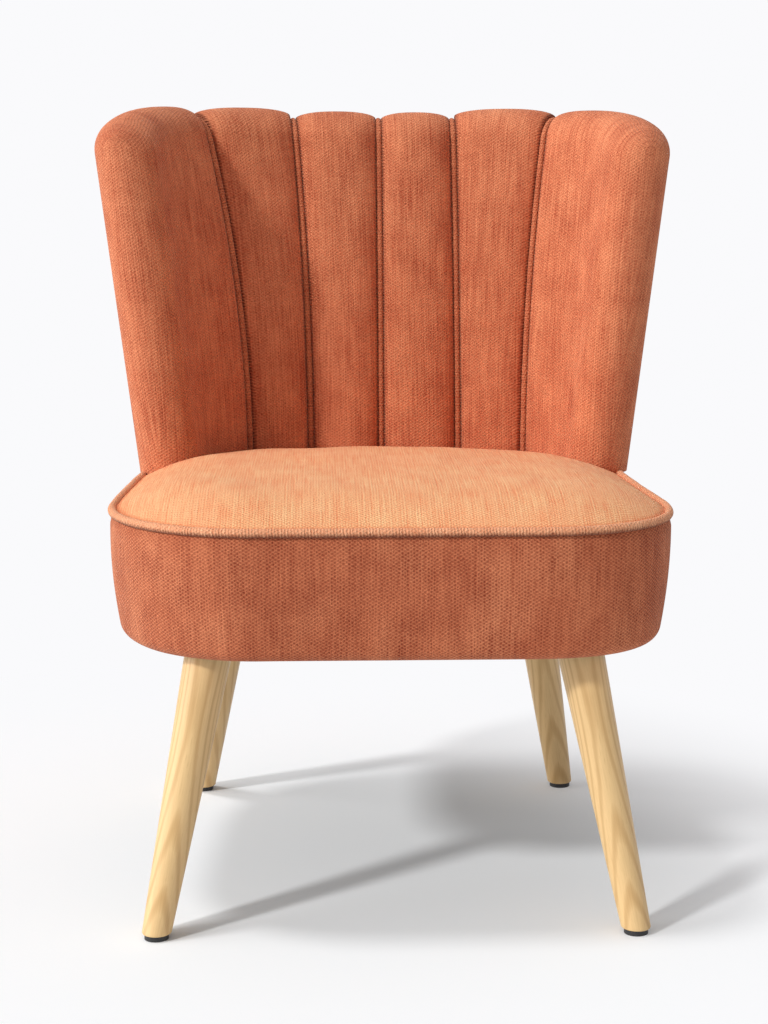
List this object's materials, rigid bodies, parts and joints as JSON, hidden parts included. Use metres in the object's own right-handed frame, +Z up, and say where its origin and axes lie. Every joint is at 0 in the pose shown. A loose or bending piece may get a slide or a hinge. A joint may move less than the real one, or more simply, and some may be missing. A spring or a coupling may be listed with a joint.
{
  "type": "slipper chair",
  "caption": "Armless slipper chair: flared, rounded back of padded upright channels with piped seams on a crowned, welted round-cornered seat with splayed tapered wooden legs.",
  "frame": {"origin": "on the floor, under the middle of the chair's overall box", "axes": "+Z up, -Y the way the chair faces, +X to the right as seen from the front"},
  "size_m": [0.6506, 0.6231, 0.8118],
  "materials": {
    "terracotta_weave": "matte",
    "pale_wood": "satin",
    "black_plastic": "matte",
    "black_cloth": "matte",
    "plywood": "matte",
    "frame_wood": "matte",
    "zinc_steel": "satin",
    "grey_felt": "matte",
    "foam": "matte",
    "wadding": "matte"
  },
  "bodies": {
    "root": {"back_bolts": "zinc_steel", "back_bottom_rail": "frame_wood", "back_liner": "plywood", "back_panel_1": "terracotta_weave", "back_panel_2": "terracotta_weave", "back_panel_3": "terracotta_weave", "back_panel_4": "terracotta_weave", "back_panel_5": "terracotta_weave", "back_panel_6": "terracotta_weave", "back_piping_1": "terracotta_weave", "back_piping_2": "terracotta_weave", "back_piping_3": "terracotta_weave", "back_piping_4": "terracotta_weave", "back_piping_5": "terracotta_weave", "back_post_left": "frame_wood", "back_post_middle": "frame_wood", "back_post_right": "frame_wood", "back_tee_nuts": "zinc_steel", "back_top_rail": "frame_wood", "base_board": "plywood", "base_screws": "zinc_steel", "channel_foam_1": "foam", "channel_foam_2": "foam", "channel_foam_3": "foam", "channel_foam_4": "foam", "channel_foam_5": "foam", "channel_foam_6": "foam", "dust_cover": "black_cloth", "glide_front_left": "black_plastic", "glide_front_right": "black_plastic", "glide_nails": "zinc_steel", "glide_rear_left": "black_plastic", "glide_rear_right": "black_plastic", "hanger_bolts": "zinc_steel", "leg_block_front_left": "plywood", "leg_block_front_right": "plywood", "leg_block_rear_left": "plywood", "leg_block_rear_right": "plywood", "leg_front_left": "pale_wood", "leg_front_right": "pale_wood", "leg_rear_left": "pale_wood", "leg_rear_right": "pale_wood", "leg_tee_nuts": "zinc_steel", "outside_back_cover": "terracotta_weave", "outside_back_wadding": "wadding", "rail_dowels": "frame_wood", "seat_band": "terracotta_weave", "seat_foam": "foam", "seat_front_rail": "frame_wood", "seat_left_rail": "frame_wood", "seat_rear_rail": "frame_wood", "seat_right_rail": "frame_wood", "seat_top_cover": "terracotta_weave", "seat_welt": "terracotta_weave", "side_padding": "wadding", "spring_clips": "zinc_steel", "spring_felt": "grey_felt", "wing_post_left": "frame_wood", "wing_post_right": "frame_wood", "zigzag_springs": "zinc_steel"}
  },
  "joints": []
}
